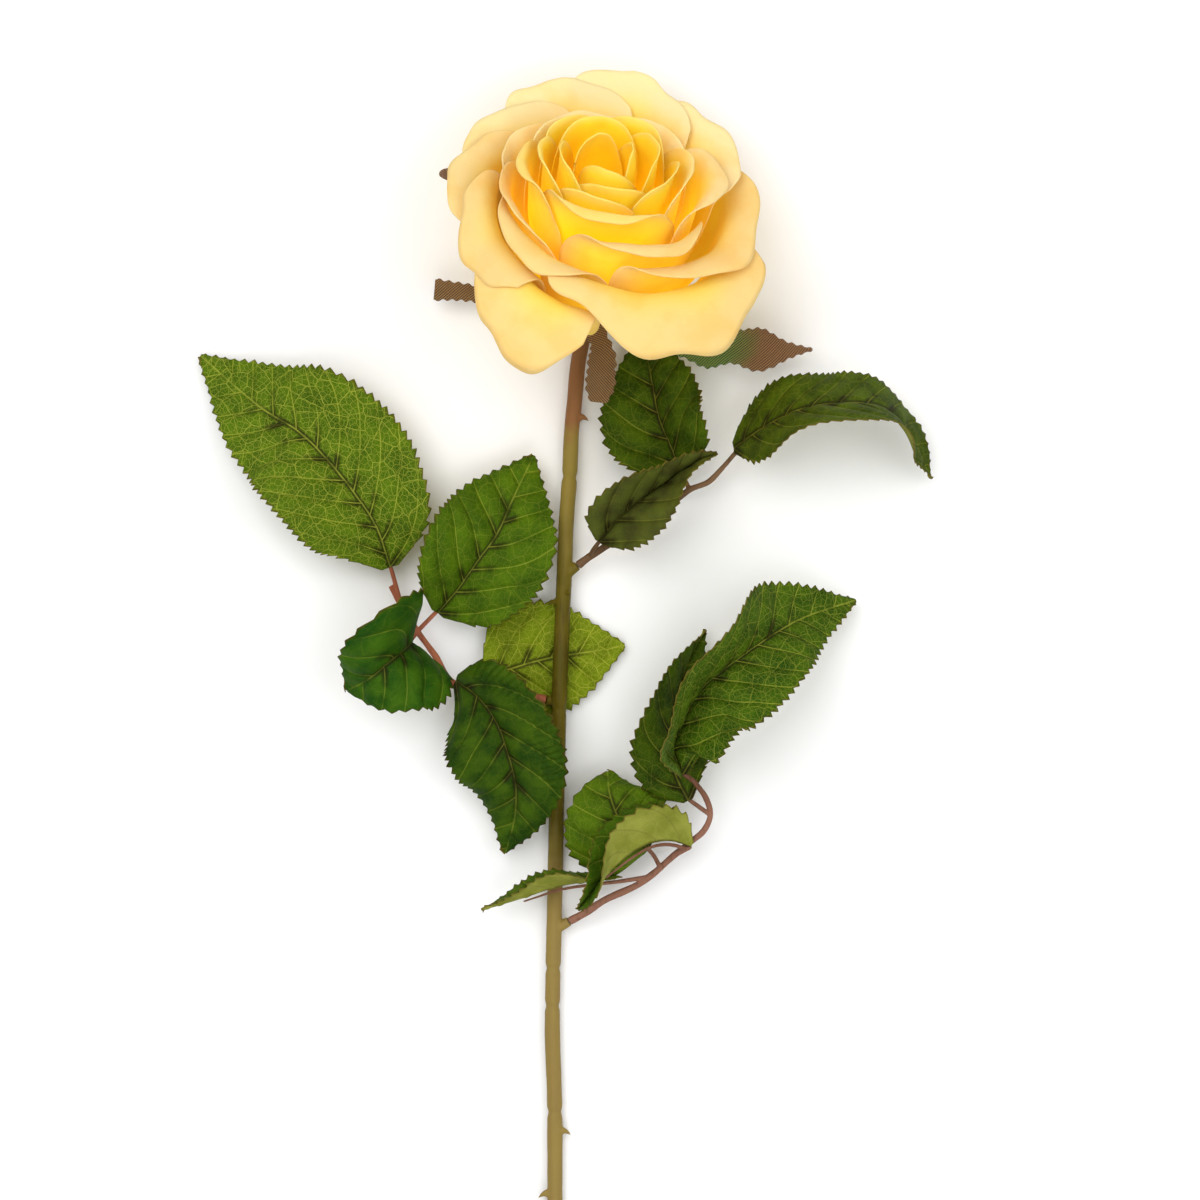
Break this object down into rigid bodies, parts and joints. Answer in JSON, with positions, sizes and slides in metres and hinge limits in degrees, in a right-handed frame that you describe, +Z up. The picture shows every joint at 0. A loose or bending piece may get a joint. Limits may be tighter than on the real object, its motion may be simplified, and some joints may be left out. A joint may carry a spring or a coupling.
{
  "type": "artificial cut rose",
  "caption": "Long-stemmed artificial rose lying down: an open bloom of overlapping fabric petals on a moulded stem with sprays of toothed leaflets.",
  "frame": {"origin": "middle of the bounding box in X and Y, at the surface the rose lies on", "axes": "+Z up from the surface, +Y along the stem towards the bloom, +X to the right of the stem seen from above"},
  "size_m": [0.234, 0.4948, 0.0744],
  "materials": {
    "stem_plastic": "moulded olive plastic, matt, browner near the bloom",
    "calyx_plastic": "moulded dark green plastic",
    "petal_fabric_inner": "deep yellow satin-like polyester, orange in the folds",
    "petal_fabric_outer": "cream to peach satin-like polyester with yellow bases",
    "stalk_plastic": "moulded brown to pink plastic",
    "leaf_fabric": "printed green polyester with pale veins, brown-red toothed edge and pale underside",
    "sepal_fabric": "coarse twill, green at the base and brown at the tip"
  },
  "bodies": {
    "root": {"stem": "stem_plastic", "calyx": "calyx_plastic", "petal_1_1": "petal_fabric_inner", "petal_1_2": "petal_fabric_inner", "petal_1_3": "petal_fabric_inner", "petal_2_1": "petal_fabric_inner", "petal_2_2": "petal_fabric_inner", "petal_2_3": "petal_fabric_inner", "petal_2_4": "petal_fabric_inner", "petal_3_1": "petal_fabric_inner", "petal_3_2": "petal_fabric_inner", "petal_3_3": "petal_fabric_inner", "petal_3_4": "petal_fabric_inner", "petal_3_5": "petal_fabric_inner", "petal_4_1": "petal_fabric_outer", "petal_4_2": "petal_fabric_outer", "petal_4_3": "petal_fabric_outer", "petal_4_4": "petal_fabric_outer", "petal_4_5": "petal_fabric_outer", "petal_5_1": "petal_fabric_outer", "petal_5_2": "petal_fabric_outer", "petal_5_3": "petal_fabric_outer", "petal_5_4": "petal_fabric_outer", "petal_5_5": "petal_fabric_outer", "petal_5_6": "petal_fabric_outer", "petal_5_7": "petal_fabric_outer", "petal_6_1": "petal_fabric_outer", "petal_6_2": "petal_fabric_outer", "petal_6_3": "petal_fabric_outer", "petal_6_4": "petal_fabric_outer", "petal_6_5": "petal_fabric_outer", "petal_6_6": "petal_fabric_outer", "petal_6_7": "petal_fabric_outer", "petal_6_8": "petal_fabric_outer", "petal_6_9": "petal_fabric_outer", "left_stalk": "stalk_plastic", "upper_stalk": "stalk_plastic", "lower_stalk": "stalk_plastic", "left_leaf_1": "leaf_fabric", "left_leaf_2": "leaf_fabric", "left_leaf_3": "leaf_fabric", "left_leaf_4": "leaf_fabric", "left_leaf_5": "leaf_fabric", "upper_leaf_1": "leaf_fabric", "upper_leaf_2": "leaf_fabric", "upper_leaf_3": "leaf_fabric", "lower_leaf_1": "leaf_fabric", "lower_leaf_2": "leaf_fabric", "lower_leaf_3": "leaf_fabric", "lower_leaf_4": "leaf_fabric", "lower_leaf_5": "leaf_fabric", "sepal_1": "sepal_fabric", "sepal_2": "sepal_fabric", "sepal_3": "sepal_fabric", "sepal_4": "sepal_fabric", "sepal_5": "sepal_fabric"}
  },
  "joints": []
}
